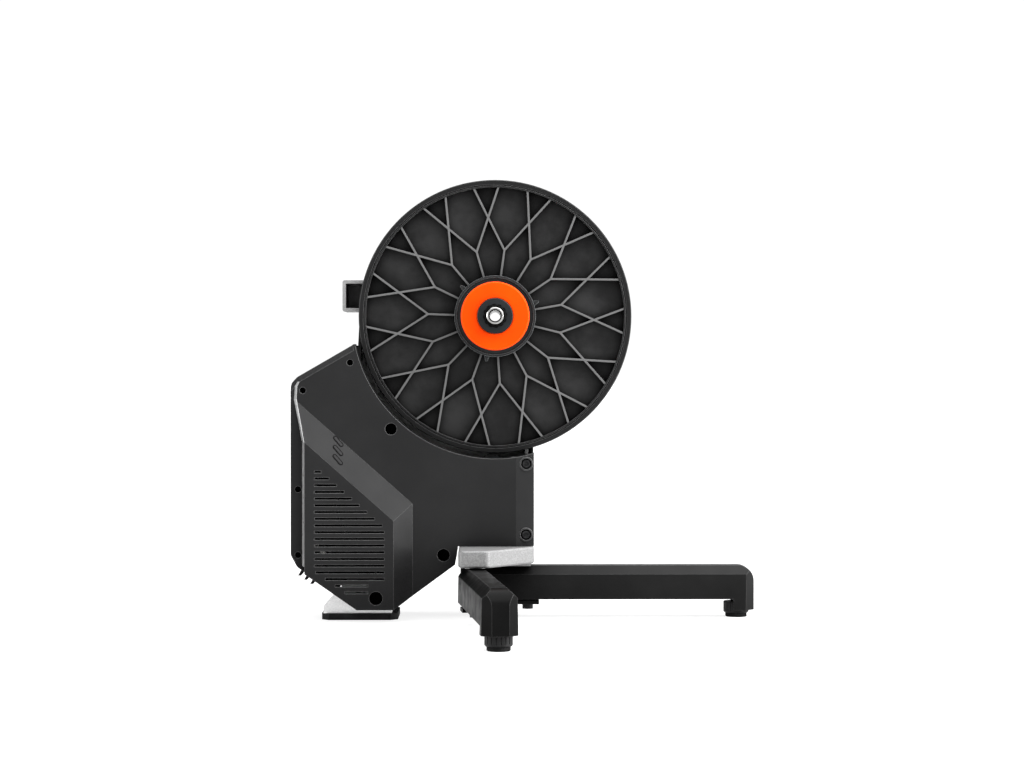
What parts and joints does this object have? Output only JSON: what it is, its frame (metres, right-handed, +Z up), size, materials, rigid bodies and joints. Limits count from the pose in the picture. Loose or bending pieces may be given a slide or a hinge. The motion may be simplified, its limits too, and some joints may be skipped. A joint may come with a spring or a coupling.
{
  "type": "direct drive bike trainer",
  "caption": "Wheel-off indoor bicycle trainer: lattice belt pulley on a hub axle, vented black casing, single sprocket, folding legs with levelling feet.",
  "frame": {"origin": "middle of the rear hub axle, halfway between the two dropout faces", "axes": "+X is the bicycle's forward direction, +Y points along the hub axle to the side away from the sprocket, +Z up"},
  "size_m": [0.5257, 0.6688, 0.4975],
  "materials": {
    "frame_paint": "satin black powder coat with fine texture",
    "cover_plastic": "moulded black plastic with fine spark texture",
    "pulley_plastic": "glass-filled black plastic, semi-gloss on rib tops",
    "cast_silver": "silver painted casting",
    "black_steel": "black oxide steel, oiled",
    "bright_steel": "zinc plated, turned",
    "pad_rubber": "matte moulded rubber",
    "knob_plastic": "fluted moulded plastic",
    "light_lens": "frosted translucent lens",
    "board_green": "green solder mask",
    "socket_black": "moulded socket body",
    "axle_alloy": "turned aluminium",
    "bearing_steel": "ground steel rings",
    "belt_rubber": "ribbed drive belt",
    "idler_plastic": "smooth turned roller",
    "freehub_steel": "machined steel",
    "carrier_black": "black anodised aluminium",
    "sprocket_steel": "stamped hardened steel",
    "guard_plastic": "moulded black guard",
    "orange_anodised": "orange anodised disc, fine turned finish",
    "flywheel_iron": "machined cast iron",
    "magnet_nickel": "nickel plated magnets"
  },
  "bodies": {
    "frame": {"main_frame": "cast_silver", "leg_bracket": "cast_silver", "bracket_bolts": "black_steel", "rear_foot": "cast_silver", "rear_foot_pad": "pad_rubber", "rear_foot_bolts": "black_steel", "right_cover": "cover_plastic", "right_cover_screws": "black_steel", "status_lights": "light_lens", "circuit_board": "board_green", "power_socket": "socket_black", "left_cover": "cover_plastic", "left_cover_screws": "black_steel", "axle_tube": "axle_alloy", "right_end_cap": "axle_alloy", "left_end_cap": "axle_alloy", "shaft_bearings": "bearing_steel", "belt": "belt_rubber", "idler_bolt": "bright_steel", "idler_spacer": "bright_steel", "brake_motor": "bright_steel", "motor_bracket": "bright_steel", "shoe_pin": "bright_steel", "front_leg": "frame_paint", "front_leg_plate": "bright_steel", "front_leg_bolt": "bright_steel", "pivot_bolts": "bright_steel", "pivot_washers": "bright_steel"},
    "pulley": {"drive_pulley": "pulley_plastic", "pulley_bearings": "bearing_steel"},
    "freehub": {"freehub_body": "freehub_steel", "freehub_bearings": "bearing_steel", "cog_carrier": "carrier_black", "sprocket": "sprocket_steel", "inner_guard": "guard_plastic", "outer_guard": "orange_anodised", "lockring": "black_steel"},
    "flywheel": {"flywheel": "flywheel_iron", "flywheel_shaft": "bright_steel", "small_pulley": "axle_alloy", "flywheel_nut": "black_steel"},
    "idler": {"belt_idler": "idler_plastic"},
    "brake": {"magnet_shoe": "bright_steel", "brake_magnets": "magnet_nickel"},
    "right_leg": {"right_leg": "frame_paint", "right_leg_plate": "bright_steel"},
    "left_leg": {"left_leg": "frame_paint", "left_leg_plate": "bright_steel"},
    "front_foot": {"front_foot_knob": "knob_plastic", "front_foot_pad": "pad_rubber"},
    "right_foot": {"right_foot_knob": "knob_plastic", "right_foot_pad": "pad_rubber"},
    "left_foot": {"left_foot_knob": "knob_plastic", "left_foot_pad": "pad_rubber"}
  },
  "joints": [
    {"name": "flywheel_spin", "type": "hinge", "parent": "frame", "child": "flywheel", "pos_m": [-0.138, 0, -0.216], "axis": [0, 1, 0], "continuous": true},
    {"name": "pulley_spin", "type": "hinge", "parent": "frame", "child": "pulley", "pos_m": [0, 0, 0], "axis": [0, 1, 0], "continuous": true},
    {"name": "idler_spin", "type": "hinge", "parent": "frame", "child": "idler", "pos_m": [0, 0, -0.172], "axis": [0, 1, 0], "continuous": true},
    {"name": "freehub_coast", "type": "hinge", "parent": "pulley", "child": "freehub", "pos_m": [0, 0, 0], "axis": [0, 1, 0], "continuous": true},
    {"name": "brake_swing", "type": "hinge", "parent": "frame", "child": "brake", "pos_m": [-0.2, 0, -0.278], "axis": [0, 1, 0], "range_deg": [0, 3]},
    {"name": "right_leg_fold", "type": "hinge", "parent": "frame", "child": "right_leg", "pos_m": [-0.022, -0.09, 0], "axis": [0, 0, 1], "range_deg": [0, 83.5]},
    {"name": "left_leg_fold", "type": "hinge", "parent": "frame", "child": "left_leg", "pos_m": [-0.022, 0.09, 0], "axis": [0, 0, 1], "range_deg": [-83.5, 0]},
    {"name": "front_foot_height", "type": "slide", "parent": "frame", "child": "front_foot", "axis": [0, 0, 1], "range_m": [-0.005, 0.005]},
    {"name": "right_foot_height", "type": "slide", "parent": "right_leg", "child": "right_foot", "axis": [0, 0, 1], "range_m": [-0.005, 0.005]},
    {"name": "left_foot_height", "type": "slide", "parent": "left_leg", "child": "left_foot", "axis": [0, 0, 1], "range_m": [-0.005, 0.005]}
  ],
  "couplings": [
    {"joint": "pulley_spin", "follows": "flywheel_spin", "ratio": 0.15385},
    {"joint": "idler_spin", "follows": "flywheel_spin", "ratio": -1.6788}
  ]
}
